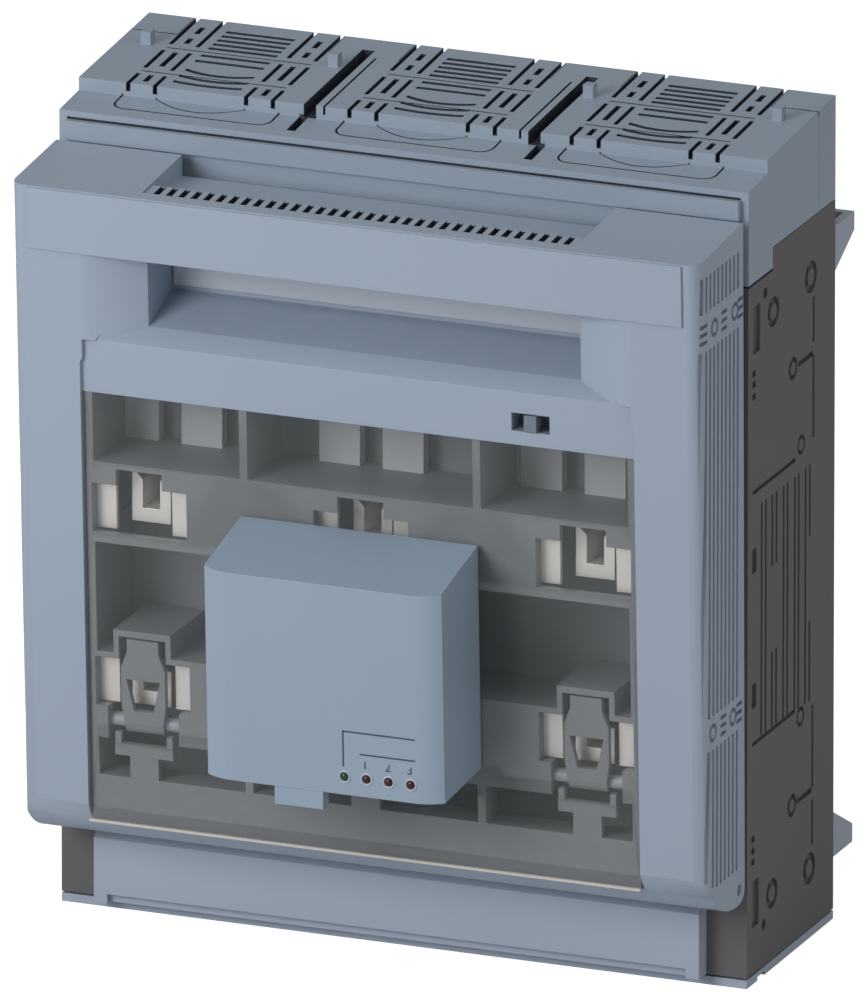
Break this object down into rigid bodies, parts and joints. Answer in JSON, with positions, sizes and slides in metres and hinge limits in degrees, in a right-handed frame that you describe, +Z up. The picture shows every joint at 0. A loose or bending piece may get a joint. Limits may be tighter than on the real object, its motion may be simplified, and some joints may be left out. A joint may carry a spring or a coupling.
{
  "type": "fuse switch disconnector",
  "caption": "Flat-backed power switch for fuse links: a dark base with contact jaws, louvred terminal covers and a hinged front carrier with a clear window and a fuse monitor.",
  "frame": {"origin": "middle of the bounding box, on the bottom face", "axes": "+X to the right as seen from the front, +Y from the front to the back, +Z up"},
  "size_m": [0.256, 0.1745, 0.3026],
  "materials": {
    "base_moulding": "fine grained dark moulding",
    "cover_plastic": "satin moulded plastic",
    "carrier_plastic": "satin moulded plastic",
    "monitor_plastic": "satin moulded plastic",
    "grey_moulding": "matt moulded plastic",
    "clear_plastic": "clear tinted plastic",
    "silvered_copper": "silver plated",
    "board": "lacquered board",
    "lamp_green": "clear lens",
    "lamp_red": "clear lens",
    "slide_plastic": "satin moulded plastic",
    "bright_steel": "zinc plated"
  },
  "bodies": {
    "base": {"arc_plates_1": "bright_steel", "arc_plates_2": "bright_steel", "arc_plates_3": "bright_steel", "bottom_cover": "cover_plastic", "bottom_tray": "cover_plastic", "chassis": "base_moulding", "contact_cover": "grey_moulding", "foot_lower_left": "cover_plastic", "foot_lower_right": "cover_plastic", "foot_upper_left": "cover_plastic", "foot_upper_right": "cover_plastic", "lower_jaw_1": "silvered_copper", "lower_jaw_2": "silvered_copper", "lower_jaw_3": "silvered_copper", "lower_jaw_clips": "bright_steel", "lower_terminal_bar_1": "silvered_copper", "lower_terminal_bar_2": "silvered_copper", "lower_terminal_bar_3": "silvered_copper", "rear_frame": "base_moulding", "terminal_bolts": "bright_steel", "terminal_washers": "bright_steel", "top_cover": "cover_plastic", "top_cover_strip": "cover_plastic", "upper_jaw_1": "silvered_copper", "upper_jaw_2": "silvered_copper", "upper_jaw_3": "silvered_copper", "upper_jaw_clips": "bright_steel", "upper_terminal_bar_1": "silvered_copper", "upper_terminal_bar_2": "silvered_copper", "upper_terminal_bar_3": "silvered_copper"},
    "fuse_carrier": {"carrier_frame": "carrier_plastic", "grip_liner": "carrier_plastic", "clear_window": "clear_plastic", "inner_frame": "grey_moulding", "upper_side_contacts": "silvered_copper", "lower_side_contacts": "silvered_copper", "monitor_housing": "monitor_plastic", "monitor_circuit_board": "board", "status_lamp_1": "lamp_green", "status_lamp_2": "lamp_red", "status_lamp_3": "lamp_red", "status_lamp_4": "lamp_red", "hinge_pin_left": "bright_steel", "hinge_pin_right": "bright_steel", "latch_shaft_1": "bright_steel", "latch_shaft_2": "bright_steel", "latch_shaft_3": "bright_steel"},
    "lock_slide": {"lock_slide": "slide_plastic"},
    "fuse_latch_1": {"fuse_latch_1": "grey_moulding"},
    "fuse_latch_2": {"fuse_latch_2": "grey_moulding"},
    "fuse_latch_3": {"fuse_latch_3": "grey_moulding"}
  },
  "joints": [
    {"name": "carrier_hinge", "type": "hinge", "parent": "base", "child": "fuse_carrier", "pos_m": [0, -0.01893, 0.038], "axis": [1, 0, 0], "range_deg": [0, 50]},
    {"name": "lock_slide_travel", "type": "slide", "parent": "fuse_carrier", "child": "lock_slide", "axis": [1, 0, 0], "range_m": [-0.0044, 0.0044]},
    {"name": "fuse_latch_1_pivot", "type": "hinge", "parent": "fuse_carrier", "child": "fuse_latch_1", "pos_m": [-0.0825, -0.04374, 0.0808], "axis": [1, 0, 0], "range_deg": [-10, 0], "stiffness_Nm_per_rad": 0.02, "springref_deg": 8.59},
    {"name": "fuse_latch_2_pivot", "type": "hinge", "parent": "fuse_carrier", "child": "fuse_latch_2", "pos_m": [0, -0.04374, 0.0808], "axis": [1, 0, 0], "range_deg": [-10, 0], "stiffness_Nm_per_rad": 0.02, "springref_deg": 8.59},
    {"name": "fuse_latch_3_pivot", "type": "hinge", "parent": "fuse_carrier", "child": "fuse_latch_3", "pos_m": [0.0825, -0.04374, 0.0808], "axis": [1, 0, 0], "range_deg": [-10, 0], "stiffness_Nm_per_rad": 0.02, "springref_deg": 8.59}
  ]
}
